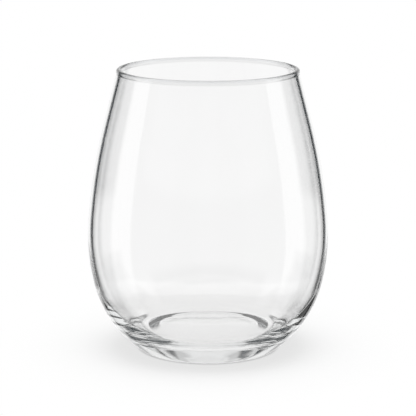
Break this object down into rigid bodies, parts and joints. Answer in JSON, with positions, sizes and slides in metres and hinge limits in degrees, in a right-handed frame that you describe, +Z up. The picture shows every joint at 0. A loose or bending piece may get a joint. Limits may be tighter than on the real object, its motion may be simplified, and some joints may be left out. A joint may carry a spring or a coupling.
{
  "type": "stemless wine glass",
  "caption": "Stemless wine glass: an egg-shaped blown bowl that narrows to a beaded lip and stands on its own thick base.",
  "frame": {"origin": "on the bench at the middle of the foot, at the glass's own axis", "axes": "+Z up along the glass's axis towards the mouth; X and Y are alike, since the glass is round"},
  "size_m": [0.092, 0.092, 0.1082],
  "materials": {
    "clear_glass": "clear colourless soda-lime glass, fire-polished, smooth inside and out"
  },
  "bodies": {
    "root": {"glass_body": "clear_glass"}
  },
  "joints": []
}
